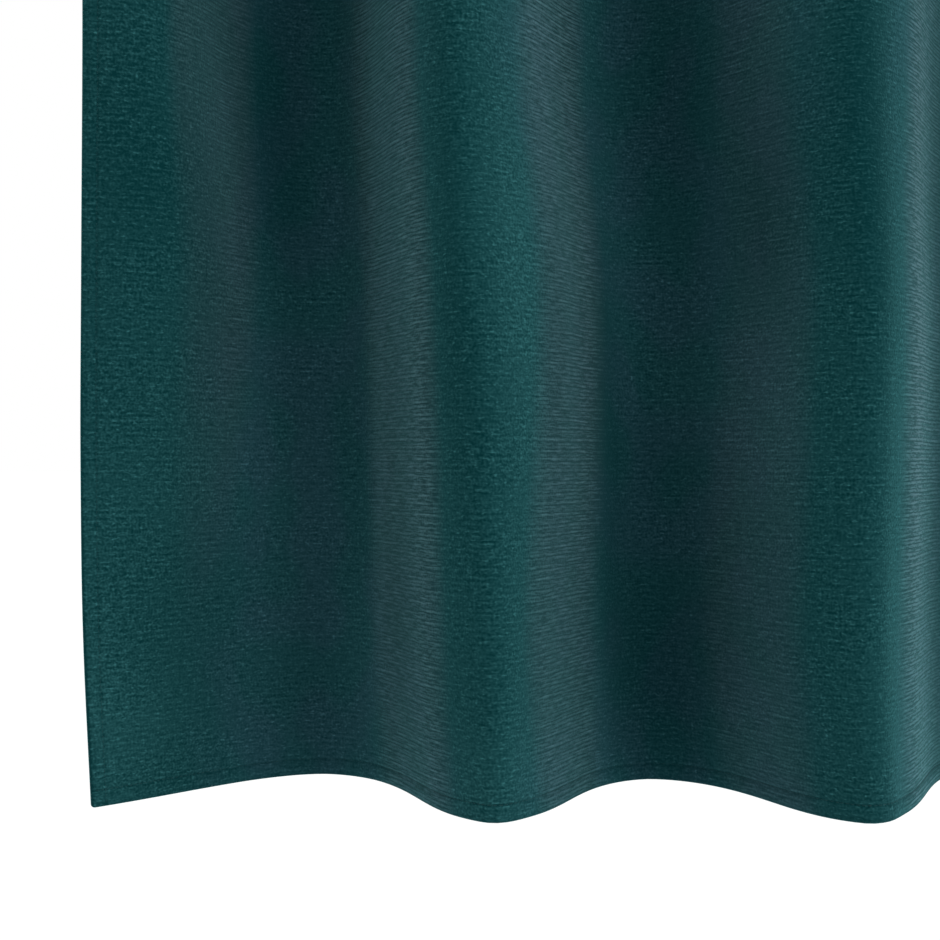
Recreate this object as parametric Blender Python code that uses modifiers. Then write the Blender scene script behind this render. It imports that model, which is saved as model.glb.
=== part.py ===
"""Velvet drape: one hemmed panel of ribbed velvet, hanging from its top edge in uneven wave folds.

Metres, +Z up, front towards -Y. The origin is the middle of the top edge, and the hem is at the bottom.
The cloth keeps its width at every height: a fold side is a length of cloth that leans away from the
front by a stated angle, so the hung shape follows from the lengths and the leans alone.
"""

import math

import bmesh
import bpy

MM = 0.001

# The finished panel, laid flat.
CUT_WIDTH = 1.320
DROP = 2.130
CLOTH_THICK = 0.0020
HEM_THICK = 0.0034
SIDE_HEM = 0.011
END_HEM = 0.013
HEM_STEP = 0.001

# Where the middle of the hung panel lies, from its left corner at the hem.
HALF_HUNG_WIDTH = 0.466
MIDDLE_DEPTH = 0.060

# Heights above the hem at which the folds are set out: hem, shin, knee, thigh, waist, chest and head
# high on the panel. At each, the left edge has moved right from the corner, and lies behind the
# foremost crest, by so much.
LEVEL_HEIGHT = (0.0, 0.110, 0.220, 0.340, 0.480, 1.350, DROP)
EDGE_RIGHT_MM = (0.0, 0.0, 1.0, 3.5, 6.0, 3.0, 0.0)
EDGE_BACK_MM = (34.0, 16.0, 6.0, -2.0, -8.0, 2.0, 4.0)

# A row for each side of a fold, from left to right, with a column for each level. An odd row runs back
# into a trough, and an even one comes forward to a crest.
CLOTH_IN_SIDE_MM = {
    #                  hem  shin knee thigh waist chest head
    "left flap":       (165, 168, 174, 183, 194, 180, 166),
    "to crest one":    (176, 171, 165, 155, 142, 152, 165),
    "to trough two":   (160, 165, 166, 166, 163, 164, 165),
    "to crest two":    (167, 162, 163, 166, 170, 164, 165),
    "to trough three": (182, 178, 176, 175, 174, 170, 165),
    "to crest three":  (162, 163, 164, 163, 165, 163, 165),
    "to trough four":  (160, 161, 161, 161, 162, 164, 165),
    "right flap":      (159, 158, 157, 157, 159, 163, 164),
}
STEEPEST_LEAN_DEG = {
    "left flap":       (41.0, 45.5, 52.0, 61.0, 70.0, 62.0, 58.0),
    "to crest one":    (64.5, 64.0, 65.0, 66.5, 66.5, 60.0, 58.0),
    "to trough two":   (61.0, 60.5, 60.5, 61.0, 60.0, 59.0, 58.0),
    "to crest two":    (60.5, 61.5, 60.0, 57.0, 54.5, 58.0, 58.0),
    "to trough three": (62.0, 62.0, 62.5, 62.5, 62.0, 61.0, 58.0),
    "to crest three":  (61.0, 60.0, 60.0, 60.0, 60.0, 58.0, 58.0),
    "to trough four":  (60.0, 60.0, 60.5, 61.0, 61.5, 60.0, 58.0),
    "right flap":      (43.0, 44.5, 47.5, 50.5, 53.0, 56.0, 58.0),
}
# Over 1 where the steepest part of a side lies further along it.
SKEW = {
    "left flap":       (0.80, 1.02, 1.07, 1.10, 0.98, 1.00, 1.00),
    "to crest one":    (1.26, 1.11, 1.07, 1.01, 0.88, 1.05, 1.00),
    "to trough two":   (0.92, 0.82, 1.02, 1.24, 1.17, 1.00, 1.00),
    "to crest two":    (1.25, 1.06, 1.21, 1.41, 1.36, 1.10, 1.00),
    "to trough three": (0.99, 1.08, 1.06, 1.03, 1.27, 0.95, 1.00),
    "to crest three":  (1.12, 1.06, 1.02, 0.99, 0.95, 1.00, 1.00),
    "to trough four":  (0.90, 0.94, 0.98, 1.00, 1.00, 1.05, 1.00),
    "right flap":      (1.00, 1.00, 1.00, 1.00, 1.00, 1.00, 1.00),
}
# Towards zero the side is straight, between tight turns; over 1 it is one long bend.
BEND = {
    "left flap":       (0.72, 0.94, 1.04, 1.18, 1.43, 0.90, 0.55),
    "to crest one":    (0.56, 0.55, 0.52, 0.49, 0.49, 0.53, 0.53),
    "to trough two":   (0.68, 0.58, 0.55, 0.54, 0.55, 0.53, 0.53),
    "to crest two":    (0.59, 0.55, 0.54, 0.55, 0.55, 0.53, 0.53),
    "to trough three": (0.42, 0.46, 0.49, 0.50, 0.51, 0.53, 0.53),
    "to crest three":  (0.53, 0.53, 0.53, 0.53, 0.53, 0.53, 0.53),
    "to trough four":  (0.53, 0.53, 0.53, 0.53, 0.53, 0.53, 0.53),
    "right flap":      (0.70, 0.92, 1.02, 1.15, 1.40, 0.90, 0.55),
}

# The two flaps end in a free edge, where the cloth keeps this share of the lean at each level.
FLAP_OPEN = {
    "left flap":       (0.82, 0.57, 0.25, 0.00, 0.00, 0.00, 0.00),
    "right flap":      (0.60, 0.43, 0.28, 0.19, 0.15, 0.00, 0.00),
}
FLAP_FADE = 2.4
FLAP_FADE_ROUND = 0.8

# The solid's grid.
SIDE_SEGMENTS = 11
WALL_ROWS = 18
ROW_GRADING = 1.35
CREST_CROWDING = 0.45
TRACE_STEPS = 60

PANEL_COLOUR = (0.0070, 0.0452, 0.0497, 1.0)
PANEL_ROUGHNESS = 0.9
SHEEN_WEIGHT = 0.35
SHEEN_ROUGHNESS = 0.4


def between_levels(values, height):
    """Smooth value at a height, with no overshoot between the levels."""
    gaps = [b - a for a, b in zip(LEVEL_HEIGHT, LEVEL_HEIGHT[1:])]
    rises = [(b - a) / gap for a, b, gap in zip(values, values[1:], gaps)]
    slopes = [rises[0]]
    for before, after in zip(rises, rises[1:]):
        steady = before * after > 0
        slopes.append(2 * before * after / (before + after) if steady else 0.0)
    slopes.append(0.0)
    at = max(i for i in range(len(gaps)) if i == 0 or height >= LEVEL_HEIGHT[i])
    t = (height - LEVEL_HEIGHT[at]) / gaps[at]
    value = values[at] * (1 + 2 * t) * (1 - t) ** 2
    value += values[at + 1] * t * t * (3 - 2 * t)
    value += gaps[at] * slopes[at] * t * (1 - t) ** 2
    return value - gaps[at] * slopes[at + 1] * t * t * (1 - t)


def side_leans(name, height):
    """Angles of the cloth, in radians, at even steps along a fold side."""
    steepest = math.radians(between_levels(STEEPEST_LEAN_DEG[name], height))
    skew = between_levels(SKEW[name], height)
    bend = between_levels(BEND[name], height)
    shares = [(i + 0.5) / TRACE_STEPS for i in range(TRACE_STEPS)]
    if name not in FLAP_OPEN:
        return [steepest * math.sin(math.pi * share**skew) ** bend for share in shares]
    from_edge = shares if name == "left flap" else [1 - share for share in shares]
    opened = between_levels(FLAP_OPEN[name], height)
    leans = []
    for share in from_edge:
        curve = math.sin(math.pi * share**skew) ** bend
        fade = math.cos(math.pi / 2 * share**FLAP_FADE) ** FLAP_FADE_ROUND
        leans.append(steepest * ((1 - opened) * curve + opened * fade))
    return leans


def side_lengths(height):
    """Cloth in each fold side at a height. Together they are always the panel's width."""
    lengths = [between_levels(row, height) for row in CLOTH_IN_SIDE_MM.values()]
    return [CUT_WIDTH * length / sum(lengths) for length in lengths]


def trace(height):
    """Cross-section at a height: lists of distance along the cloth, X and Y."""
    along = [0.0]
    x = [between_levels(EDGE_RIGHT_MM, height) * MM - HALF_HUNG_WIDTH]
    y = [between_levels(EDGE_BACK_MM, height) * MM - MIDDLE_DEPTH]
    turn = 1
    for name, length in zip(CLOTH_IN_SIDE_MM, side_lengths(height)):
        step = length / TRACE_STEPS
        for lean in side_leans(name, height):
            along.append(along[-1] + step)
            x.append(x[-1] + step * math.cos(lean))
            y.append(y[-1] + turn * step * math.sin(lean))
        turn = -turn
    return along, x, y


def read(places, values, place):
    """Value at a place between the traced ones."""
    at = 0
    while at < len(places) - 2 and places[at + 1] < place:
        at += 1
    share = (place - places[at]) / (places[at + 1] - places[at])
    return values[at] + share * (values[at + 1] - values[at])


def crowded(start, end, segments):
    """Places from start to end, closer together at both ends, where the cloth turns."""
    shares = [i / segments for i in range(1, segments + 1)]
    eased = [(1 - math.cos(math.pi * share)) / 2 for share in shares]
    mixed = [(1 - CREST_CROWDING) * a + CREST_CROWDING * b for a, b in zip(shares, eased)]
    return [start + share * (end - start) for share in mixed]


def column_places(height):
    """Distances along the cloth of the grid's columns, with the side hems' own columns at both edges."""
    places = [0.0, SIDE_HEM, SIDE_HEM + HEM_STEP]
    lengths = side_lengths(height)
    end = lengths[0]
    places += crowded(places[-1], end, SIDE_SEGMENTS)
    for length in lengths[1:-1]:
        places += crowded(end, end + length, SIDE_SEGMENTS)
        end += length
    places += crowded(end, CUT_WIDTH - SIDE_HEM - HEM_STEP, SIDE_SEGMENTS)
    return places + [CUT_WIDTH - SIDE_HEM, CUT_WIDTH]


def row_heights():
    """Heights of the grid's rows above the hem's edge, closer together near the bottom."""
    low = END_HEM + HEM_STEP
    high = DROP - END_HEM - HEM_STEP
    wall = [low + (high - low) * (i / WALL_ROWS) ** ROW_GRADING for i in range(WALL_ROWS + 1)]
    return [0.0, END_HEM] + wall + [DROP - END_HEM, DROP]


def velvet():
    material = bpy.data.materials.new("dark teal velvet")
    material.use_nodes = True
    shader = material.node_tree.nodes["Principled BSDF"]
    shader.inputs["Base Color"].default_value = PANEL_COLOUR
    shader.inputs["Roughness"].default_value = PANEL_ROUGHNESS
    shader.inputs["Metallic"].default_value = 0.0
    shader.inputs["Sheen Weight"].default_value = SHEEN_WEIGHT
    shader.inputs["Sheen Roughness"].default_value = SHEEN_ROUGHNESS
    return material


def drape_panel(collection):
    """The panel's front face as a loft of its cross-sections, thickened towards the back."""
    mesh = bpy.data.meshes.new("drape_panel")
    panel = bpy.data.objects.new("drape_panel", mesh)
    collection.objects.link(panel)

    build = bmesh.new()
    rows = []
    hem_points = []
    for height in row_heights():
        along, x, y = trace(height)
        places = column_places(height)
        end_hem = height <= END_HEM or height >= DROP - END_HEM
        row = []
        for place in places:
            point = build.verts.new((read(along, x, place), read(along, y, place), height - DROP))
            row.append(point)
            if end_hem or place <= SIDE_HEM or place >= CUT_WIDTH - SIDE_HEM:
                hem_points.append(len(rows) * len(places) + len(row) - 1)
        rows.append(row)
    for low, high in zip(rows, rows[1:]):
        for i in range(len(low) - 1):
            build.faces.new((low[i], low[i + 1], high[i + 1], high[i]))
    build.to_mesh(mesh)
    build.free()
    mesh.shade_smooth()
    mesh.materials.append(velvet())

    # The hems are the same cloth turned to the back, so there the panel is thicker.
    hems = panel.vertex_groups.new(name="hems")
    hems.add(hem_points, 1.0, "REPLACE")
    thickness = panel.modifiers.new("cloth thickness", "SOLIDIFY")
    thickness.thickness = HEM_THICK
    thickness.offset = -1.0
    thickness.vertex_group = hems.name
    thickness.thickness_vertex_group = CLOTH_THICK / HEM_THICK
    return panel


for leftover in list(bpy.data.objects):
    bpy.data.objects.remove(leftover, do_unlink=True)
drape = bpy.data.collections.new("velvet drape")
bpy.context.scene.collection.children.link(drape)
drape_panel(drape)
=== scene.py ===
import math

import bpy
import numpy as np
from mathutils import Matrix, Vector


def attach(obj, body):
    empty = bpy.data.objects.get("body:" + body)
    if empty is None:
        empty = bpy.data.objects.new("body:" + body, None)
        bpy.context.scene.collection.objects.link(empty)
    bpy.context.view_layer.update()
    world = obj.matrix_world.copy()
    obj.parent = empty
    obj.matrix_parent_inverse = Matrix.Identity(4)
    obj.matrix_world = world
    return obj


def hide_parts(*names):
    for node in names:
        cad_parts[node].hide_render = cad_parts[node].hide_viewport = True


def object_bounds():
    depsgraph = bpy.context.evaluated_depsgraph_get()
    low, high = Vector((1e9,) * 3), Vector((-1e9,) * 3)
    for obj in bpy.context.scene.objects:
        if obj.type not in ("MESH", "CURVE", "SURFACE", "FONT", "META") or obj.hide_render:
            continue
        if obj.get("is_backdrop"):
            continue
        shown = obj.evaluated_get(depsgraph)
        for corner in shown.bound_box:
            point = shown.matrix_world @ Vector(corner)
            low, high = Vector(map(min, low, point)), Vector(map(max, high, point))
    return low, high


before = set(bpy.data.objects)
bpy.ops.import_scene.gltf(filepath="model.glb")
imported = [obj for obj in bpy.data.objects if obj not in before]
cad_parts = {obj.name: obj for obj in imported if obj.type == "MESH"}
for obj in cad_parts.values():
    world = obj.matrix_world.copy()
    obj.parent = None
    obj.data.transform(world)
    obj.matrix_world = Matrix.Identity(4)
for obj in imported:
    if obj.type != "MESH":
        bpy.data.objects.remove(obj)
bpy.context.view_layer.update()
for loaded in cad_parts.values():
    loaded.select_set(False)


# The panel: one length of dark teal velvet with fine weft ribs and short slubs, cut 1.36 by 2.18 m. Its
# four edges are turned to the back and sewn down. It hangs from its top edge in four uneven wave folds,
# and its lower left corner swings back a little at the hem.
PANEL_WIDTH = 1.320
DROP = 2.130
CLOTH_THICK = 0.0020
HEM_THICK = 0.0034
SIDE_HEM = 0.011
END_HEM = 0.013
HALF_HUNG_WIDTH = 0.466
MIDDLE_DEPTH = 0.060
MM = 0.001

# Heights above the hem at which the folds are set out: hem, shin, knee, thigh, waist, chest and head
# high on the panel. At each, the left edge has moved right from the corner, and lies behind the
# foremost crest, by so much.
LEVEL_HEIGHT = (0.0, 0.110, 0.220, 0.340, 0.480, 1.350, DROP)
EDGE_RIGHT_MM = (0.0, 0.0, 1.0, 3.5, 6.0, 3.0, 0.0)
EDGE_BACK_MM = (34.0, 16.0, 6.0, -2.0, -8.0, 2.0, 4.0)

# A row for each side of a fold, from left to right, with a column for each level. An odd row runs back
# into a trough, and an even one comes forward to a crest.
CLOTH_IN_SIDE_MM = {
    #                  hem  shin knee thigh waist chest head
    "left flap":       (165, 168, 174, 183, 194, 180, 166),
    "to crest one":    (176, 171, 165, 155, 142, 152, 165),
    "to trough two":   (160, 165, 166, 166, 163, 164, 165),
    "to crest two":    (167, 162, 163, 166, 170, 164, 165),
    "to trough three": (182, 178, 176, 175, 174, 170, 165),
    "to crest three":  (162, 163, 164, 163, 165, 163, 165),
    "to trough four":  (160, 161, 161, 161, 162, 164, 165),
    "right flap":      (159, 158, 157, 157, 159, 163, 164),
}
STEEPEST_LEAN_DEG = {
    "left flap":       (41.0, 45.5, 52.0, 61.0, 70.0, 62.0, 58.0),
    "to crest one":    (64.5, 64.0, 65.0, 66.5, 66.5, 60.0, 58.0),
    "to trough two":   (61.0, 60.5, 60.5, 61.0, 60.0, 59.0, 58.0),
    "to crest two":    (60.5, 61.5, 60.0, 57.0, 54.5, 58.0, 58.0),
    "to trough three": (62.0, 62.0, 62.5, 62.5, 62.0, 61.0, 58.0),
    "to crest three":  (61.0, 60.0, 60.0, 60.0, 60.0, 58.0, 58.0),
    "to trough four":  (60.0, 60.0, 60.5, 61.0, 61.5, 60.0, 58.0),
    "right flap":      (43.0, 44.5, 47.5, 50.5, 53.0, 56.0, 58.0),
}
# Over 1 where the steepest part of a side lies further along it.
SKEW = {
    "left flap":       (0.80, 1.02, 1.07, 1.10, 0.98, 1.00, 1.00),
    "to crest one":    (1.26, 1.11, 1.07, 1.01, 0.88, 1.05, 1.00),
    "to trough two":   (0.92, 0.82, 1.02, 1.24, 1.17, 1.00, 1.00),
    "to crest two":    (1.25, 1.06, 1.21, 1.41, 1.36, 1.10, 1.00),
    "to trough three": (0.99, 1.08, 1.06, 1.03, 1.27, 0.95, 1.00),
    "to crest three":  (1.12, 1.06, 1.02, 0.99, 0.95, 1.00, 1.00),
    "to trough four":  (0.90, 0.94, 0.98, 1.00, 1.00, 1.05, 1.00),
    "right flap":      (1.00, 1.00, 1.00, 1.00, 1.00, 1.00, 1.00),
}
# Towards zero the side is straight, between tight turns; over 1 it is one long bend.
BEND = {
    "left flap":       (0.72, 0.94, 1.04, 1.18, 1.43, 0.90, 0.55),
    "to crest one":    (0.56, 0.55, 0.52, 0.49, 0.49, 0.53, 0.53),
    "to trough two":   (0.68, 0.58, 0.55, 0.54, 0.55, 0.53, 0.53),
    "to crest two":    (0.59, 0.55, 0.54, 0.55, 0.55, 0.53, 0.53),
    "to trough three": (0.42, 0.46, 0.49, 0.50, 0.51, 0.53, 0.53),
    "to crest three":  (0.53, 0.53, 0.53, 0.53, 0.53, 0.53, 0.53),
    "to trough four":  (0.53, 0.53, 0.53, 0.53, 0.53, 0.53, 0.53),
    "right flap":      (0.70, 0.92, 1.02, 1.15, 1.40, 0.90, 0.55),
}

# The two flaps end in a free edge, where the cloth keeps this share of the lean at each level. The rest of
# a flap fades into it on a rounded curve.
FLAP_OPEN = {
    "left flap":       (0.82, 0.57, 0.25, 0.00, 0.00, 0.00, 0.00),
    "right flap":      (0.60, 0.43, 0.28, 0.19, 0.15, 0.00, 0.00),
}
FLAP_FADE = 2.4
FLAP_FADE_ROUND = 0.8
STEPS_IN_SIDE = 80


def between_levels(values, height):
    """Smooth value at a height, with no overshoot between the levels."""
    gaps = [b - a for a, b in zip(LEVEL_HEIGHT, LEVEL_HEIGHT[1:])]
    rises = [(b - a) / gap for a, b, gap in zip(values, values[1:], gaps)]
    slopes = [rises[0]]
    for before, after in zip(rises, rises[1:]):
        steady = before * after > 0
        slopes.append(2 * before * after / (before + after) if steady else 0.0)
    slopes.append(0.0)
    at = max(i for i in range(len(gaps)) if i == 0 or height >= LEVEL_HEIGHT[i])
    t = (height - LEVEL_HEIGHT[at]) / gaps[at]
    value = values[at] * (1 + 2 * t) * (1 - t) ** 2
    value += values[at + 1] * t * t * (3 - 2 * t)
    value += gaps[at] * slopes[at] * t * (1 - t) ** 2
    return value - gaps[at] * slopes[at + 1] * t * t * (1 - t)


def cross_section(height):
    """Distance along the cloth, X and Y of the panel's cross-section at a height."""
    share = (np.arange(STEPS_IN_SIDE) + 0.5) / STEPS_IN_SIDE
    lengths = [between_levels(row, height) for row in CLOTH_IN_SIDE_MM.values()]
    steps, leans = [], []
    turn = 1
    for name, length in zip(CLOTH_IN_SIDE_MM, lengths):
        steepest = turn * math.radians(between_levels(STEEPEST_LEAN_DEG[name], height))
        skew = between_levels(SKEW[name], height)
        bend = between_levels(BEND[name], height)
        if name in FLAP_OPEN:
            from_edge = share if name == "left flap" else 1 - share
            curve = np.sin(math.pi * from_edge**skew) ** bend
            fade = np.cos(math.pi / 2 * from_edge**FLAP_FADE) ** FLAP_FADE_ROUND
            opened = between_levels(FLAP_OPEN[name], height)
            shape = (1 - opened) * curve + opened * fade
        else:
            shape = np.sin(math.pi * share**skew) ** bend
        leans.append(steepest * shape)
        steps.append(np.full(STEPS_IN_SIDE, PANEL_WIDTH * length / sum(lengths) / STEPS_IN_SIDE))
        turn = -turn
    leans, steps = np.concatenate(leans), np.concatenate(steps)
    along = np.concatenate([[0.0], np.cumsum(steps)])
    x = np.concatenate([[0.0], np.cumsum(steps * np.cos(leans))])
    y = np.concatenate([[0.0], np.cumsum(steps * np.sin(leans))])
    x += between_levels(EDGE_RIGHT_MM, height) * MM - HALF_HUNG_WIDTH
    y += between_levels(EDGE_BACK_MM, height) * MM - MIDDLE_DEPTH
    return along, x, y


# The hung cloth on a fine chart of the flat panel: across it, then up from the hem.
CHART_STEP_ACROSS = 0.002
CHART_STEP_UP = 0.010
INSIDE_CHART = 0.001
chart_across = np.linspace(0, PANEL_WIDTH, round(PANEL_WIDTH / CHART_STEP_ACROSS) + 1)
chart_up = np.linspace(0, DROP, round(DROP / CHART_STEP_UP) + 1)
chart_x, chart_y = [], []
for height in chart_up:
    along, x, y = cross_section(height)
    chart_x.append(np.interp(chart_across, along, x))
    chart_y.append(np.interp(chart_across, along, y))
chart_x, chart_y = np.array(chart_x), np.array(chart_y)

run_x, run_y = np.gradient(chart_x, axis=1), np.gradient(chart_y, axis=1)
chart_front_x = run_y / np.hypot(run_x, run_y)
chart_front_y = -run_x / np.hypot(run_x, run_y)

# Soft ridges, swellings and dents of the cloth, each at a place across and up the flat panel. It reaches
# so far along its own line, spreads so far to both sides, turns so many degrees from upright, and rises
# towards the front by so much; a dent's rise is negative.
CREASES = (
    # across up     reach  breadth turn  rise
    (0.343, 0.200, 0.450, 0.0145,  0.0,  0.00320),
    (0.674, 0.200, 0.450, 0.0145,  0.0,  0.00310),
    (0.205, 0.200, 0.150, 0.0180,  1.0, -0.00300),
    (0.050, 0.120, 0.070, 0.020,   8.0,  0.0010),
    (0.095, 0.330, 0.110, 0.024,  -6.0,  0.0014),
    (0.125, 0.070, 0.060, 0.016,  14.0, -0.0010),
    (0.345, 0.090, 0.070, 0.014,   6.0,  0.0008),
    (0.410, 0.280, 0.100, 0.020,  -4.0,  0.0012),
    (0.500, 0.140, 0.080, 0.018,   5.0, -0.0012),
    (0.570, 0.380, 0.130, 0.022,  -3.0,  0.0012),
    (0.620, 0.080, 0.060, 0.016,  10.0,  0.0010),
    (0.790, 0.560, 0.160, 0.024,  -5.0,  0.0018),
    (0.880, 0.160, 0.090, 0.020,   6.0,  0.0014),
    (0.960, 0.420, 0.140, 0.022,  -4.0, -0.0016),
    (1.060, 0.220, 0.110, 0.024,   5.0,  0.0014),
    (1.150, 0.620, 0.170, 0.026,  -6.0,  0.0020),
    (1.240, 0.150, 0.100, 0.024,  -9.0,  0.0016),
    (0.080, 0.900, 0.200, 0.028,   3.0,  0.0020),
    (0.260, 1.150, 0.220, 0.024,  -3.0, -0.0018),
    (0.430, 0.820, 0.180, 0.024,   4.0,  0.0016),
    (0.600, 1.320, 0.240, 0.026,   2.0,  0.0020),
    (0.770, 1.000, 0.200, 0.024,  -4.0, -0.0018),
    (0.930, 1.500, 0.240, 0.026,   3.0,  0.0018),
    (1.100, 1.180, 0.220, 0.026,  -2.0, -0.0020),
    (1.260, 0.950, 0.200, 0.028,   4.0,  0.0020),
    (0.150, 1.650, 0.220, 0.026,  -2.0, -0.0016),
    (0.480, 1.800, 0.180, 0.022,   3.0,  0.0014),
    (0.840, 1.880, 0.160, 0.022,  -3.0, -0.0014),
    (1.180, 1.760, 0.200, 0.024,   2.0,  0.0016),
)


def soft_spots(table, across, up):
    """Sum of a table's soft spots at places on the flat panel."""
    total = np.zeros(np.shape(across))
    for spot_across, spot_up, reach, breadth, turn, amount in table:
        c, s = math.cos(math.radians(turn)), math.sin(math.radians(turn))
        along = (up - spot_up) * c + (across - spot_across) * s
        beside = (across - spot_across) * c - (up - spot_up) * s
        total += amount * np.exp(-((along / reach) ** 2) - (beside / breadth) ** 2)
    return total


def charted(chart, across, up):
    """A chart's values at places on the flat panel."""
    column = np.clip(across / CHART_STEP_ACROSS, 0, len(chart_across) - 1 - INSIDE_CHART)
    row = np.clip(up / CHART_STEP_UP, 0, len(chart_up) - 1 - INSIDE_CHART)
    c, r = column.astype(int), row.astype(int)
    right, above = column - c, row - r
    low = chart[r, c] * (1 - right) + chart[r, c + 1] * right
    high = chart[r + 1, c] * (1 - right) + chart[r + 1, c + 1] * right
    return low * (1 - above) + high * above


def hung(across, up, lift):
    """Points of the hung cloth at places on the flat panel, lifted off its face by a distance."""
    front_x = charted(chart_front_x, across, up)
    front_y = charted(chart_front_y, across, up)
    lift = (lift + soft_spots(CREASES, across, up)) / np.hypot(front_x, front_y)
    x = charted(chart_x, across, up) + lift * front_x
    y = charted(chart_y, across, up) + lift * front_y
    return np.stack([x, y, up - DROP], axis=-1)


# A hem in section, by distance from the finished edge: the edge is a rounded fold, the turned cloth
# puffs up a little, and the row of stitches pulls both faces in.
EDGE_RADIUS = 0.0016
PUFF = 0.0004
STITCH_PULL = 0.0005
STITCH_GROOVE = 0.0009
STITCH_INSET = 0.0017
HEM_EDGE_STEP = 0.0004


def hem_section(distance, hem):
    """How far the fold has opened, how doubled the cloth is, its puff and the stitches' pull."""
    opened = np.sqrt(1 - np.clip(1 - distance / EDGE_RADIUS, 0, 1) ** 2)
    doubled = np.clip((hem - distance) / HEM_EDGE_STEP, 0, 1)
    stitches = hem - STITCH_INSET
    puff = PUFF * np.sin(math.pi * np.clip(distance / stitches, 0, 1))
    pull = STITCH_PULL * np.exp(-(((distance - stitches) / STITCH_GROOVE) ** 2))
    return opened, doubled, puff, pull


def panel_faces(across, up):
    """Lift of the front and back faces anywhere on the panel."""
    side = hem_section(np.minimum(across, PANEL_WIDTH - across), SIDE_HEM)
    end = hem_section(np.minimum(up, DROP - up), END_HEM)
    opened = np.minimum(side[0], end[0])
    doubled, puff, pull = [np.maximum(at_side, at_end) for at_side, at_end in zip(side[1:], end[1:])]
    thick = CLOTH_THICK + (HEM_THICK - CLOTH_THICK) * doubled
    front = (puff - pull) * opened
    back = pull * opened - thick
    middle = -HEM_THICK / 2
    return middle + (front - middle) * opened, middle + (back - middle) * opened


# The flat panel's grid: its columns and rows crowd into the hems, and the rows spread out with height.
HEM_LINES_MM = (0.0, 0.12, 0.4, 0.85, 1.6, 2.6, 4.2, 6.2)
COLUMNS = 236
ROWS = 118
ROW_GRADING = 1.25
CORNER_RADIUS = 0.0025


def lines_of(length, hem, count, grading):
    """Places of the grid's lines from one finished edge to the other."""
    stitches = hem - STITCH_INSET
    edge = [line * MM for line in HEM_LINES_MM]
    edge += [stitches - STITCH_GROOVE, stitches, stitches + STITCH_GROOVE]
    edge += [hem - HEM_EDGE_STEP, hem, hem + HEM_EDGE_STEP]
    inner = np.linspace(0, 1, count + 1)[1:-1] ** grading
    inner = edge[-1] + (length - 2 * edge[-1]) * inner
    return np.concatenate([edge, inner, length - np.array(edge[::-1])])


across_lines = lines_of(PANEL_WIDTH, SIDE_HEM, COLUMNS, 1.0)
up_lines = lines_of(DROP, END_HEM, ROWS, ROW_GRADING)
flat_across, flat_up = [grid.ravel() for grid in np.meshgrid(across_lines, up_lines)]

# The four corners are turned in to small rounds: a square of the grid becomes a quarter of a disc.
round_across = np.clip(CORNER_RADIUS - np.minimum(flat_across, PANEL_WIDTH - flat_across), 0, None)
round_up = np.clip(CORNER_RADIUS - np.minimum(flat_up, DROP - flat_up), 0, None)
pull_across = round_across * (1 - np.sqrt(1 - (round_up / CORNER_RADIUS) ** 2 / 2))
pull_up = round_up * (1 - np.sqrt(1 - (round_across / CORNER_RADIUS) ** 2 / 2))
place_across = flat_across + np.where(flat_across < PANEL_WIDTH / 2, pull_across, -pull_across)
place_up = flat_up + np.where(flat_up < DROP / 2, pull_up, -pull_up)
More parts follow.
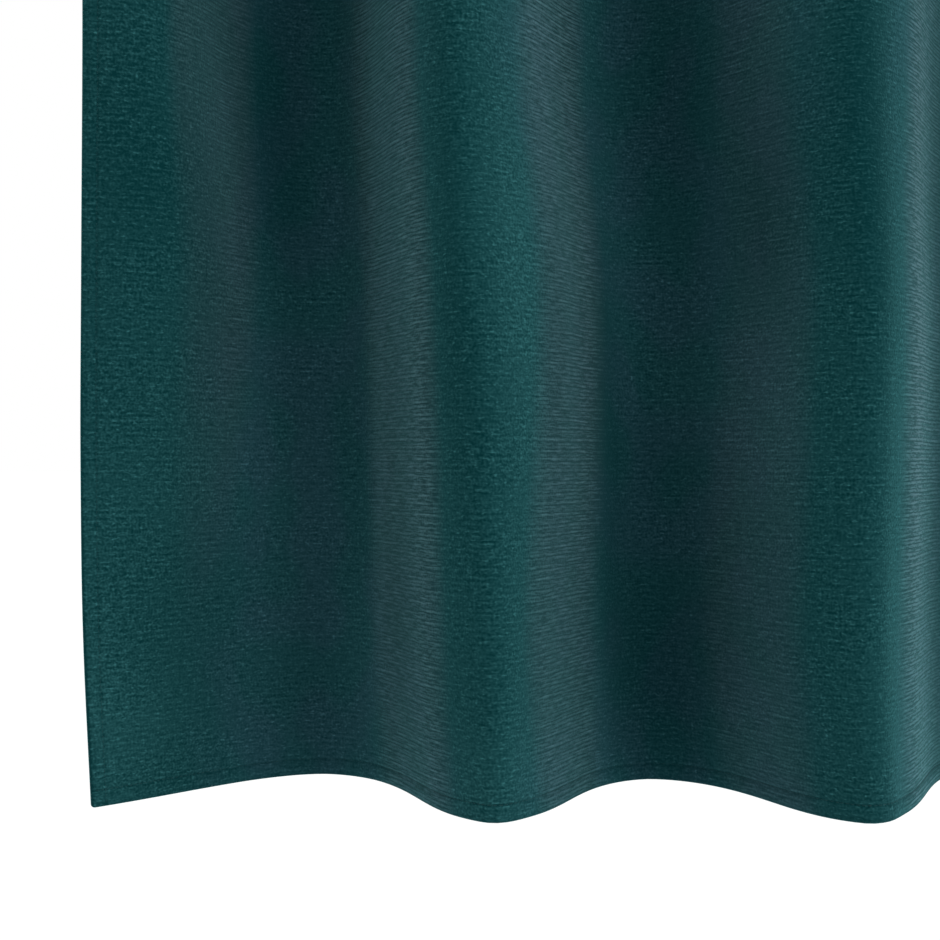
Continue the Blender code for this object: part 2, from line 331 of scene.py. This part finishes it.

# Painted light and shade, and uneven nap: where the cloth looks lighter or darker by that share. The first
# thirty-seven rows paint light and shade into the folds, and a dark line along the hem's stitches; the
# last twelve are uneven nap.
PAINTED_LIGHT_SHADE_AND_NAP = (
    # across up     reach  breadth turn  share
    (0.040, 0.420, 0.100, 0.050,   0.0, -0.16),
    (0.040, 0.280, 0.070, 0.060,   0.0,  0.06),
    (0.040, 0.385, 0.040, 0.030,   0.0, -0.12),
    (0.006, 0.120, 0.160, 0.012,   0.0,  0.10),
    (0.025, 0.050, 0.060, 0.040,   0.0,  0.26),
    (0.040, 0.200, 0.050, 0.060,   0.0,  0.15),
    (0.103, 0.370, 0.060, 0.020,  -6.0,  0.07),
    (0.103, 0.510, 0.040, 0.020,   0.0, -0.10),
    (0.037, 0.095, 0.030, 0.020,   0.0, -0.08),
    (0.132, 0.100, 0.040, 0.030,   0.0,  0.09),
    (0.146, 0.450, 0.120, 0.024,   0.0, -0.36),
    (0.160, 0.175, 0.085, 0.045,   0.0,  0.22),
    (0.150, 0.320, 0.050, 0.035,   0.0,  0.18),
    (0.192, 0.330, 0.050, 0.020,   0.0,  0.12),
    (0.192, 0.095, 0.040, 0.020,   0.0,  0.12),
    (0.245, 0.400, 0.160, 0.030,   0.0,  0.12),
    (0.246, 0.115, 0.060, 0.020,   0.0, -0.20),
    (0.345, 0.025, 0.035, 0.045,   0.0,  0.26),
    (0.406, 0.500, 0.060, 0.034,   0.0,  0.38),
    (0.287, 0.300, 0.300, 0.014,   0.0,  0.28),
    (0.310, 0.470, 0.060, 0.014,   0.0,  0.16),
    (0.326, 0.360, 0.190, 0.012,   0.0, -0.24),
    (0.347, 0.140, 0.080, 0.012,   0.0,  0.12),
    (0.350, 0.500, 0.030, 0.014,   0.0,  0.14),
    (0.372, 0.320, 0.130, 0.022,   0.0,  0.46),
    (0.470, 0.230, 0.180, 0.014,   0.0, -0.44),
    (0.510, 0.050, 0.080, 0.040,   0.0, -0.30),
    (0.515, 0.215, 0.030, 0.040,   0.0, -0.12),
    (0.550, 0.470, 0.080, 0.030,   0.0, -0.22),
    (0.565, 0.240, 0.110, 0.045,   0.0,  0.14),
    (0.612, 0.230, 0.060, 0.020,   0.0,  0.10),
    (0.600, 0.370, 0.050, 0.022,   0.0, -0.20),
    (0.630, 0.500, 0.040, 0.030,   0.0,  0.18),
    (0.672, 0.430, 0.140, 0.020,   0.0, -0.32),
    (0.700, 0.220, 0.250, 0.011,   0.0,  0.20),
    (0.746, 0.250, 0.350, 0.030,   0.0,  0.54),
    (0.752, 0.0113, 0.0017, 0.038,  0.0, -0.98),
    (0.780, 0.300, 0.160, 0.060,  -4.0,  0.06),
    (0.950, 0.500, 0.200, 0.070,   4.0, -0.08),
    (1.120, 0.200, 0.160, 0.060,   0.0,  0.08),
    (1.230, 0.650, 0.240, 0.070,   2.0, -0.08),
    (0.120, 1.000, 0.260, 0.080,   0.0,  0.08),
    (0.380, 1.300, 0.300, 0.070,   0.0, -0.08),
    (0.640, 0.950, 0.240, 0.070,   0.0,  0.07),
    (0.860, 1.450, 0.300, 0.080,   0.0, -0.07),
    (1.120, 1.250, 0.280, 0.080,   0.0,  0.08),
    (0.250, 1.800, 0.200, 0.090,   0.0,  0.06),
    (0.700, 1.850, 0.200, 0.100,   0.0, -0.06),
    (1.100, 1.850, 0.200, 0.090,   0.0,  0.06),
)

# Painted sheen on the weft ribs: how much more, or less, than elsewhere it shows on a fold's side, as a
# share. It also strengthens the painted grey sheen there.
RIB_SHEEN_SPOTS = (
    # across up     reach  breadth turn  share
    (0.125, 0.400, 0.260, 0.060,  -4.0, -0.45),
    (0.070, 0.320, 0.170, 0.027,   0.0, -0.95),
    (0.083, 0.240, 0.060, 0.016,   0.0, -0.40),
    (0.155, 0.250, 0.050, 0.022,   0.0, -0.45),
    (0.250, 0.480, 0.120, 0.050,   0.0, -0.24),
    (0.305, 0.350, 0.500, 0.022,   0.0,  0.15),
    (0.448, 0.300, 0.500, 0.016,   0.0,  0.30),
    (0.390, 0.250, 0.500, 0.050,   0.0, -0.16),
    (0.600, 0.250, 0.450, 0.075,   0.0, -0.80),
    (0.684, 0.490, 0.090, 0.018,   0.0, -0.90),
    (0.740, 0.250, 0.450, 0.034,   0.0,  1.25),
    (0.900, 0.450, 0.400, 0.080,   0.0, -0.40),
    (1.220, 0.500, 0.500, 0.060,   0.0, -0.60),
    (0.150, 1.300, 0.400, 0.080,   0.0, -0.50),
    (0.600, 1.500, 0.500, 0.080,   0.0, -0.50),
    (1.000, 1.400, 0.500, 0.080,   0.0, -0.40),
    (0.330, 1.950, 0.400, 0.350,   0.0, -0.40),
    (1.000, 1.950, 0.400, 0.350,   0.0, -0.40),
)

# A fold's hollow, which gets a painted blue shade, lies this far back, and deepens over this much; the
# flaps' edges have none.
HOLLOW_FROM = -0.060
HOLLOW_DEEP = 0.040
FLAP_BARE = 0.060

# Painted shade on the rounded edges and along the stitches: the colour is darker this far in from the
# edges, by this share there, and by less along the stitches.
EDGE_SHADE_REACH = 0.0014
PAINTED_EDGE_SHADE = 0.75
PAINTED_STITCH_SHADE = 0.18

from_side = np.minimum(flat_across, PANEL_WIDTH - flat_across)
from_end = np.minimum(flat_up, DROP - flat_up)
to_side_stitches = abs(from_side - SIDE_HEM + STITCH_INSET)
to_end_stitches = abs(from_end - END_HEM + STITCH_INSET)
to_stitches = np.minimum(to_side_stitches, to_end_stitches)
painted_edge_and_stitch_shade = PAINTED_EDGE_SHADE * np.exp(-((np.minimum(from_side, from_end) / EDGE_SHADE_REACH) ** 2))
painted_edge_and_stitch_shade += PAINTED_STITCH_SHADE * np.exp(-((to_stitches / STITCH_GROOVE) ** 2))
sunk = np.clip((charted(chart_y, flat_across, flat_up) - HOLLOW_FROM) / HOLLOW_DEEP, 0, 1)
# Masks at the panel's points: how far its face turns sideways, how deep it lies in a hollow, the strength
# of its painted rib sheen, and its painted light and shade with uneven nap.
looks = {
    "fold side": np.abs(charted(chart_front_x, flat_across, flat_up)),
    "hollow": sunk * np.clip((from_side - FLAP_BARE) / FLAP_BARE, 0, 1),
    "ribs": np.maximum(1 + soft_spots(RIB_SHEEN_SPOTS, flat_across, flat_up), 0),
    "painted_light_shade_and_nap": (1 + soft_spots(PAINTED_LIGHT_SHADE_AND_NAP, flat_across, flat_up)) * (1 - painted_edge_and_stitch_shade),
}


def cloth_face(name, lift, outwards):
    """One face of the panel: a flat grid, hung in its folds, with its flat places as its UV map.

    The operator makes an even grid, and each of its points then goes to the same crossing of the panel's
    own lines.
    """
    bpy.ops.mesh.primitive_grid_add(
        x_subdivisions=len(across_lines) - 1, y_subdivisions=len(up_lines) - 1, size=1
    )
    face = bpy.context.object
    face.name = name
    mesh = face.data
    spots = np.empty(len(mesh.vertices) * 3)
    mesh.vertices.foreach_get("co", spots)
    spots = spots.reshape(-1, 3)
    column = np.rint((spots[:, 0] + 0.5) * (len(across_lines) - 1)).astype(int)
    row = np.rint((spots[:, 1] + 0.5) * (len(up_lines) - 1)).astype(int)
    at = row * len(across_lines) + column
    mesh.vertices.foreach_set("co", hung(place_across, place_up, lift)[at].ravel())
    corners = np.empty(len(mesh.loops), int)
    mesh.loops.foreach_get("vertex_index", corners)
    flat = np.stack([flat_across, flat_up], axis=-1)[at][corners]
    mesh.uv_layers[0].name = "flat cloth"
    mesh.uv_layers[0].data.foreach_set("uv", flat.ravel())
    for look, values in looks.items():
        mesh.attributes.new(look, "FLOAT", "POINT").data.foreach_set("value", values[at])
    mesh.update()
    facing = sum(polygon.normal.y for polygon in mesh.polygons) < 0
    if facing != outwards:
        bpy.ops.object.mode_set(mode="EDIT")
        bpy.ops.mesh.select_all(action="SELECT")
        bpy.ops.mesh.flip_normals()
        bpy.ops.object.mode_set(mode="OBJECT")
    return face


front_lift, back_lift = panel_faces(flat_across, flat_up)
panel_front = cloth_face("panel", front_lift, True)
panel_back = cloth_face("panel reverse", back_lift, False)


class Wire:
    """A shader socket, so that shader maths can be written as expressions on sockets."""

    def __init__(self, tree, socket=None):
        self.tree = tree
        self.socket = socket

    def node(self, kind, settings=None, sockets=None, output=0):
        """A new node: its settings first, then the values or wires of its sockets."""
        made = self.tree.nodes.new("ShaderNode" + kind)
        for name, value in (settings or {}).items():
            setattr(made, name, value)
        for name, value in (sockets or {}).items():
            if isinstance(value, Wire):
                self.tree.links.new(value.socket, made.inputs[name])
            else:
                made.inputs[name].default_value = value
        return Wire(self.tree, made.outputs[output])

    def maths(self, operation, *values):
        """A Math node on this value and the others."""
        return self.node("Math", {"operation": operation}, dict(enumerate((self, *values))))

    def __add__(self, other):
        return self.maths("ADD", other)

    def __sub__(self, other):
        return self.maths("SUBTRACT", other)

    def __rsub__(self, other):
        return self * -1 + other

    def __mul__(self, other):
        return self.maths("MULTIPLY", other)

    def __truediv__(self, other):
        return self.maths("DIVIDE", other)

    def sine(self):
        return self.maths("SINE")

    def exponent(self):
        return self.maths("EXPONENT")

    def ramp(self, low, high):
        """0 below low and 1 above high, smooth between."""
        limits = {"Value": self, "From Min": low, "From Max": high}
        return self.node("MapRange", {"interpolation_type": "SMOOTHSTEP"}, limits)

    def mixed(self, low, high):
        """Colour from low to high as this goes from 0 to 1."""
        return self.node(
            "Mix", {"data_type": "RGBA", "clamp_factor": True}, {0: self, 6: low, 7: high}, output=2
        )

    __radd__ = __add__
    __rmul__ = __mul__


def cloth_finish(name, sheen, sheen_roughness, sheen_tint):
    """A matt cloth material with a sheen, its shader, and wires of the places on the flat panel."""
    material = bpy.data.materials.new(name)
    material.use_nodes = True
    tree = material.node_tree
    shader = tree.nodes["Principled BSDF"]
    shader.inputs["Roughness"].default_value = 1.0
    shader.inputs["Specular IOR Level"].default_value = 0.0
    shader.inputs["Sheen Weight"].default_value = sheen
    shader.inputs["Sheen Roughness"].default_value = sheen_roughness
    shader.inputs["Sheen Tint"].default_value = sheen_tint
    flat = Wire(tree).node("UVMap", {"uv_map": "flat cloth"})
    across = flat.node("SeparateXYZ", sockets={0: flat})
    up = flat.node("SeparateXYZ", sockets={0: flat}, output=1)
    return material, shader, across, up


def flecks(across, up, long, high, place):
    """Noise around 0.5 in grains that long and high, in metres; each use has a place of its own."""
    grain = across.node("CombineXYZ", sockets={0: across / long, 1: up / high, 2: place})
    sockets = {"Vector": grain, "Scale": 1.0, "Detail": 0.0}
    return across.node("TexNoise", {"noise_dimensions": "3D"}, sockets)


def waves(place, pitch):
    """Even waves from 0 to 1 along a wire of places in metres."""
    return (place * (2 * math.pi / pitch)).sine() * 0.5 + 0.5


def finished(material, shader, colour, height, depth):
    """Wires a material's colour and raised pattern into its shader."""
    bump = height.node("Bump", sockets={"Height": height, "Distance": depth, "Strength": 1.0})
    material.node_tree.links.new(bump.socket, shader.inputs["Normal"])
    material.node_tree.links.new(colour.socket, shader.inputs["Base Color"])


# Velvet face: short pale dashes in loose rows on a dark teal pile, crossed by a few upright ones. Where
# the cloth leans away to the side, the colour shows its weft ribs instead, as broken pale lines of painted
# sheen, and is greyer with painted sheen. In the folds' hollows it has a bluer painted shade.
VELVET_DARK = (0.0010, 0.0230, 0.0258, 1)
VELVET_LIGHT = (0.0245, 0.1070, 0.1143, 1)
# Painted grey sheen: greyer, paler velvet where the cloth turns sideways.
PAINTED_SHEEN_DARK = (0.0146, 0.0253, 0.0306, 1)
PAINTED_SHEEN_LIGHT = (0.0830, 0.1210, 0.1450, 1)
# Painted shade: bluer velvet in the folds' hollows.
HOLLOW_SHADE_DARK = (0.0044, 0.0235, 0.0315, 1)
HOLLOW_SHADE_LIGHT = (0.0428, 0.1083, 0.1411, 1)
SHEEN = 0.27
SHEEN_ROUGHNESS = 0.45
SHEEN_TINT = (0.30, 0.95, 1.0, 1)
MEAN_SHADE = 0.1875
SHADE_RANGE = 0.456
RELIEF = 0.00030

# Grains of the pile: how long and how high each kind is, in metres, and its place in the noise. A clear
# kind shows only above a level of the noise, and fully from another.
SOFT_GRAINS = {
    "waver":   (0.0450, 0.0080, 3.0),
    "fine":    (0.0015, 0.0015, 7.0),
    "dash":    (0.0056, 0.0018, 13.0),
    "upright": (0.0013, 0.0050, 19.0),
    "streak":  (0.0140, 0.0023, 29.0),
    "thin":    (0.0060, 0.0009, 33.0),
    "cloud":   (0.1100, 0.1600, 43.0),
}
CLEAR_GRAINS = {
    "patch":  ((0.0450, 0.0350, 37.0), (0.35, 0.65)),
    "line":   ((0.0300, 0.0013, 51.0), (0.66, 0.84)),
    "glint":  ((0.0034, 0.0012, 61.0), (0.58, 0.80)),
    "mottle": ((0.0300, 0.0500, 71.0), (0.36, 0.64)),
}
# How strongly each kind shades the speckled pile, and breaks up the ribs. Only some of the speckle comes
# and goes in patches.
PATCHED_SPECKLE = {"fine": 1.2, "dash": 0.9, "upright": 0.45, "row": 0.21}
EVEN_SPECKLE = {"line": 0.2, "glint": 0.55}
RIB_BREAKS = {"row": 0.34, "streak": 1.3, "fine": 1.2, "thin": 2.0}
PATCHINESS = 0.36
MEAN_GLINT = 0.08
CLOUDINESS = 0.25
HOLLOW_CALM = 0.16

# The spacing of the ribs and of the rows of dashes, and how far both waver. A power under 1 makes a rib
# broader than the gap beside it, and the mean goes with that power. A streak strengthens the ribs where
# it is pale, and weakens them where it is dark. Pile with painted rib sheen is a little paler on the
# whole, and its darkest gap keeps this share of its brightness.
RIB_PITCH = 0.00245
ROW_PITCH = 0.0039
WAVER = 0.0018
RIB_POWER = 0.5
MEAN_RIB = 0.64
RIB_STRENGTH = 0.64
STREAK_STRENGTH = 3.3
RIB_SHEEN_PALER = 0.04
DARKEST_GAP = 0.45

# How far the cloth's face turns sideways, from 0 to 1, where the painted rib sheen and the painted grey
# sheen begin and are full. The painted grey sheen has a least share and one that comes with the rib
# sheen, and is weaker at the hem.
RIB_SHEEN_TURN = (0.64, 0.86)
PAINTED_SHEEN_TURN = (0.69, 0.86)
LEAST_PAINTED_SHEEN = 0.20
PAINTED_SHEEN_WITH_RIBS = 0.29
HEM_PAINTED_SHEEN = 0.76
HEM_PAINTED_SHEEN_UP_TO = 0.28

# The hollows' share of painted blue shade, and how much more of it there is in its mottles.
LEAST_HOLLOW_SHADE = 0.25
MOTTLED_HOLLOW_SHADE = 0.5

# The height of the ribs, of the streaks between them and of the speckle, as shares of the relief.
RIB_HEIGHT = 0.75
STREAK_HEIGHT = 0.6
SPECKLE_HEIGHT = 0.6

velvet, velvet_shader, across, up = cloth_finish("velvet face", SHEEN, SHEEN_ROUGHNESS, SHEEN_TINT)
fold_side, hollow, rib_sheen_strength, painted_light_shade_and_nap = [
    across.node("Attribute", {"attribute_name": look}, output=2) for look in looks
]
grains = {kind: flecks(across, up, *size) - 0.5 for kind, size in SOFT_GRAINS.items()}
for kind, (size, limits) in CLEAR_GRAINS.items():
    grains[kind] = flecks(across, up, *size).ramp(*limits)
level = up + grains["waver"] * WAVER
grains["row"] = waves(level, ROW_PITCH) - 0.5
grains["glint"] = grains["glint"] - MEAN_GLINT


def mixture(shares, start=0):
    """A sum of grains, each by its share, on top of a start."""
    return sum((grains[kind] * share for kind, share in shares.items()), start)


# Painted sheen on the ribs: where the face turns sideways, the colour shows pale rib lines in place of the
# speckle, over the ribs' relief.
painted_rib_sheen = fold_side.ramp(*RIB_SHEEN_TURN) * rib_sheen_strength
raised = painted_rib_sheen.maths("MINIMUM", 1)
speckled = 1 - raised
patch = grains["patch"] * PATCHINESS + (1 - PATCHINESS / 2)
speckle = mixture(EVEN_SPECKLE, mixture(PATCHED_SPECKLE) * patch) * (1 - hollow * HOLLOW_CALM)
ribs = waves(level, RIB_PITCH).maths("POWER", RIB_POWER) - MEAN_RIB
broken = mixture(RIB_BREAKS, ribs * (grains["streak"] * STREAK_STRENGTH + RIB_STRENGTH))
rib_sheen_tone = ((broken + RIB_SHEEN_PALER) * painted_rib_sheen + 1).maths("MAXIMUM", DARKEST_GAP)
# The colour's shade takes in the painted rib sheen, and the painted light and shade with the nap.
shade = (speckle * speckled + grains["cloud"] * CLOUDINESS).exponent() * rib_sheen_tone * painted_light_shade_and_nap
tone = (shade - 1) * SHADE_RANGE + MEAN_SHADE

# Painted grey sheen on the fold sides, weaker at the hem, and painted blue shade in the hollows.
above_hem = up.ramp(0, HEM_PAINTED_SHEEN_UP_TO) * (1 - HEM_PAINTED_SHEEN) + HEM_PAINTED_SHEEN
painted_sheen_share = fold_side.ramp(*PAINTED_SHEEN_TURN) * (rib_sheen_strength * PAINTED_SHEEN_WITH_RIBS + LEAST_PAINTED_SHEEN) * above_hem
painted_hollow_shade = hollow * (grains["mottle"] * MOTTLED_HOLLOW_SHADE + LEAST_HOLLOW_SHADE)
bare = tone.mixed(VELVET_DARK, VELVET_LIGHT)
hollow_shaded_colour = tone.mixed(HOLLOW_SHADE_DARK, HOLLOW_SHADE_LIGHT)
painted_sheen_colour = tone.mixed(PAINTED_SHEEN_DARK, PAINTED_SHEEN_LIGHT)
colour = painted_sheen_share.mixed(painted_hollow_shade.mixed(bare, hollow_shaded_colour), painted_sheen_colour)
rib_height = ribs * RIB_HEIGHT + grains["streak"] * STREAK_HEIGHT
height = rib_height * raised + speckle * SPECKLE_HEIGHT * speckled
finished(velvet, velvet_shader, colour, height, RELIEF)

# Reverse: the plain woven ground of the velvet, dull and a little greyer.
GROUND_DARK = (0.0090, 0.0400, 0.0440, 1)
GROUND_LIGHT = (0.0170, 0.0620, 0.0670, 1)
GROUND_SHEEN = 0.08
GROUND_SHEEN_ROUGHNESS = 0.5
GROUND_SHEEN_TINT = (0.9, 0.95, 1.0, 1)
GROUND_PITCH = 0.0012
GROUND_RELIEF = 0.0001
GROUND_SLUB = (0.030, 0.0016, 5.0)
GROUND_CLOUD = (0.060, 0.080, 9.0)
WEAVE_SHADE = 0.4
SLUB_SHADE = 0.5
CLOUD_SHADE = 0.6

ground, ground_shader, across, up = cloth_finish(
    "velvet reverse", GROUND_SHEEN, GROUND_SHEEN_ROUGHNESS, GROUND_SHEEN_TINT
)
weave = waves(across, GROUND_PITCH) * waves(up, GROUND_PITCH)
slub = flecks(across, up, *GROUND_SLUB)
cloud = flecks(across, up, *GROUND_CLOUD) - 0.5
shade = weave * WEAVE_SHADE + slub * SLUB_SHADE + cloud * CLOUD_SHADE
finished(ground, ground_shader, shade.mixed(GROUND_DARK, GROUND_LIGHT), weave + slub, GROUND_RELIEF)

# The turned hems show the velvet's own face on the back. The two faces meet in the finished edges, where
# their points are merged.
MERGE_WITHIN = 0.00001

for face in (panel_front, panel_back):
    face.data.materials.append(velvet)
    face.data.materials.append(ground)
for polygon in panel_back.data.polygons:
    corner_places = [panel_back.data.uv_layers[0].data[corner].uv for corner in polygon.loop_indices]
    middle_across, middle_up = [sum(axis) / len(corner_places) for axis in zip(*corner_places)]
    in_side_hem = min(middle_across, PANEL_WIDTH - middle_across) < SIDE_HEM
    in_end_hem = min(middle_up, DROP - middle_up) < END_HEM
    polygon.material_index = 0 if in_side_hem or in_end_hem else 1
bpy.ops.object.select_all(action="DESELECT")
panel_back.select_set(True)
panel_front.select_set(True)
bpy.context.view_layer.objects.active = panel_front
bpy.ops.object.join()
panel = bpy.context.object
bpy.ops.object.mode_set(mode="EDIT")
bpy.ops.mesh.select_all(action="SELECT")
bpy.ops.mesh.remove_doubles(threshold=MERGE_WITHIN)
bpy.ops.object.mode_set(mode="OBJECT")
bpy.ops.object.shade_smooth()
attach(panel, "root")
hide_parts("drape_panel")


# The stitching: one row of lockstitch in matching thread along each hem, half sunk into the pile on the
# front and plain to see on the back, where it holds the turned hem down.
THREAD_DARK = (0.0050, 0.0270, 0.0300, 1)
THREAD_LIGHT = (0.0180, 0.0640, 0.0700, 1)
THREAD_SHEEN = 0.15
THREAD_SHEEN_ROUGHNESS = 0.4
THREAD_SHEEN_TINT = (0.85, 0.95, 1.0, 1)
THREAD_TWIST = 0.0007
THREAD_RELIEF = 0.00004
THREAD_RADIUS = 0.00022
THREAD_SIDES = 6
THREAD_RINGS = 4
# A stitch's ends dive into the cloth, and the whole of it is sunk into the front and the back by so much.
STITCH_PITCH = 0.0032
STITCH_LENGTH = 0.0027
STITCH_DIVE = 0.00022
STITCH_SUNK = (0.00020, 0.00006)
SHORT_OF_CORNER = 0.004

# One stitch, as a long bead of thread.
bpy.ops.mesh.primitive_uv_sphere_add(segments=THREAD_SIDES, ring_count=THREAD_RINGS, radius=1)
stitch_shape = np.array([vertex.co for vertex in bpy.context.object.data.vertices])
stitch_faces = [np.array(polygon.vertices) for polygon in bpy.context.object.data.polygons]
bpy.ops.object.delete()
wide = stitch_shape[:, 0] * THREAD_RADIUS
long = stitch_shape[:, 2] * STITCH_LENGTH / 2
proud = (stitch_shape[:, 1] + 1) * THREAD_RADIUS - STITCH_DIVE * stitch_shape[:, 2] ** 2

# A row of them goes up each side and along each end.
side_inset, end_inset = SIDE_HEM - STITCH_INSET, END_HEM - STITCH_INSET
up_side = np.arange(SHORT_OF_CORNER, DROP - SHORT_OF_CORNER, STITCH_PITCH)[:, None]
along_end = np.arange(SHORT_OF_CORNER, PANEL_WIDTH - SHORT_OF_CORNER, STITCH_PITCH)[:, None]
stitch_rows = (
    # place, and whether the row is upright
    (side_inset, True),
    (PANEL_WIDTH - side_inset, True),
    (end_inset, False),
    (DROP - end_inset, False),
)
stitch_points, stitch_flats = [], []
for inset, upright in stitch_rows:
    middle_across = np.full_like(up_side, inset) if upright else along_end
    middle_up = up_side if upright else np.full_like(along_end, inset)
    across = middle_across + (wide if upright else long)
    up = middle_up + (long if upright else wide)
    faces = panel_faces(middle_across, middle_up)
    for surface, outwards, sunk in zip(faces, (1, -1), STITCH_SUNK):
        stitch_points.append(hung(across, up, surface + outwards * (proud - sunk)).reshape(-1, 3))
        stitch_flats.append(np.stack([across, up], axis=-1).reshape(-1, 2))
stitch_points, stitch_flats = np.concatenate(stitch_points), np.concatenate(stitch_flats)

stitch_mesh = bpy.data.meshes.new("hem stitching")
starts = range(0, len(stitch_points), len(stitch_shape))
stitch_mesh.from_pydata(stitch_points, [], [face + start for start in starts for face in stitch_faces])
stitching = bpy.data.objects.new("hem_stitching", stitch_mesh)
bpy.context.scene.collection.objects.link(stitching)
thread_corners = np.empty(len(stitch_mesh.loops), int)
stitch_mesh.loops.foreach_get("vertex_index", thread_corners)
stitch_mesh.uv_layers.new(name="flat cloth").data.foreach_set("uv", stitch_flats[thread_corners].ravel())
bpy.ops.object.select_all(action="DESELECT")
bpy.context.view_layer.objects.active = stitching
stitching.select_set(True)
bpy.ops.object.mode_set(mode="EDIT")
bpy.ops.mesh.select_all(action="SELECT")
bpy.ops.mesh.normals_make_consistent(inside=False)
bpy.ops.object.mode_set(mode="OBJECT")
bpy.ops.object.shade_smooth()

thread, thread_shader, across, up = cloth_finish(
    "dark teal thread", THREAD_SHEEN, THREAD_SHEEN_ROUGHNESS, THREAD_SHEEN_TINT
)
twist = waves(across + up, THREAD_TWIST)
finished(thread, thread_shader, twist.mixed(THREAD_DARK, THREAD_LIGHT), twist, THREAD_RELIEF)
stitching.data.materials.append(thread)
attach(stitching, "root")


# The studio: a pale floor some way below the hem, soft lights from high on both sides and low in front,
# and the camera low in front of the left corner, level and square to the panel.
FLOOR_GAP = 0.35
FLOOR_RADIUS = 60.0
FLOOR_SIDES = 96
FLOOR_COLOUR = (0.20, 0.20, 0.20, 1)
FLOOR_GLOW = 0.75
WHITE = (1, 1, 1, 1)
# The white around is full for the eye, and lights the cloth by this share.
AROUND = 0.122
SOFTNESS = 16
# Each light: how far right of straight ahead it stands, how high, in degrees, and its power.
LIGHTS = {
    "low right":  (50, 8, 0.95),
    "far right":  (78, 8, 0.80),
    "high front": (15, 65, 0.99),
    "high left":  (-90, 65, 2.70),
    "low left":   (-60, 8, 0.50),
    "high right": (68, 65, 0.57),
    "behind":     (170, 30, 1.30),
}
# The eye is so far right of the panel's left edge, in front of its crests, and above its hem.
EYE_RIGHT = 0.2366
EYE_IN_FRONT = 0.783
EYE_UP = 0.2182
LENS = 50
SENSOR = 36
NEAREST_SEEN = 0.01
FRAME_PIXELS = 940
SHIFT_UP_PIXELS = -10

camera_data = bpy.data.cameras.new("camera")
camera_data.lens = LENS
camera_data.sensor_width = SENSOR
camera_data.shift_y = SHIFT_UP_PIXELS / FRAME_PIXELS
camera_data.clip_start = NEAREST_SEEN
camera = bpy.data.objects.new("camera", camera_data)
camera.location = (EYE_RIGHT - HALF_HUNG_WIDTH, -MIDDLE_DEPTH - EYE_IN_FRONT, EYE_UP - DROP)
camera.rotation_euler = (math.radians(90), 0, 0)
bpy.context.scene.collection.objects.link(camera)
bpy.context.scene.camera = camera

bpy.ops.mesh.primitive_circle_add(
    vertices=FLOOR_SIDES, radius=FLOOR_RADIUS, fill_type="NGON", location=(0, 0, -DROP - FLOOR_GAP)
)
floor = bpy.context.object
floor.name = "floor"
pale = bpy.data.materials.new("pale floor")
pale.use_nodes = True
pale_shader = pale.node_tree.nodes["Principled BSDF"]
pale_shader.inputs["Base Color"].default_value = FLOOR_COLOUR
pale_shader.inputs["Roughness"].default_value = 1.0
pale_shader.inputs["Specular IOR Level"].default_value = 0.0
pale_shader.inputs["Emission Color"].default_value = WHITE
pale_shader.inputs["Emission Strength"].default_value = FLOOR_GLOW
floor.data.materials.append(pale)
floor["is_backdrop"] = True

for name, (right, high, power) in LIGHTS.items():
    light = bpy.data.lights.new(name, "SUN")
    light.energy = power
    light.angle = math.radians(SOFTNESS)
    lamp = bpy.data.objects.new(name, light)
    lamp.rotation_euler = (math.radians(90 - high), 0, math.radians(right))
    bpy.context.scene.collection.objects.link(lamp)

world = bpy.data.worlds.new("studio")
world.use_nodes = True
seen = Wire(world.node_tree).node("LightPath")
shine = seen * (1 - AROUND) + AROUND
background = world.node_tree.nodes["Background"]
background.inputs["Color"].default_value = WHITE
world.node_tree.links.new(shine.socket, background.inputs["Strength"])
bpy.context.scene.world = world
bpy.context.scene.view_settings.view_transform = "Standard"


low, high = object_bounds()
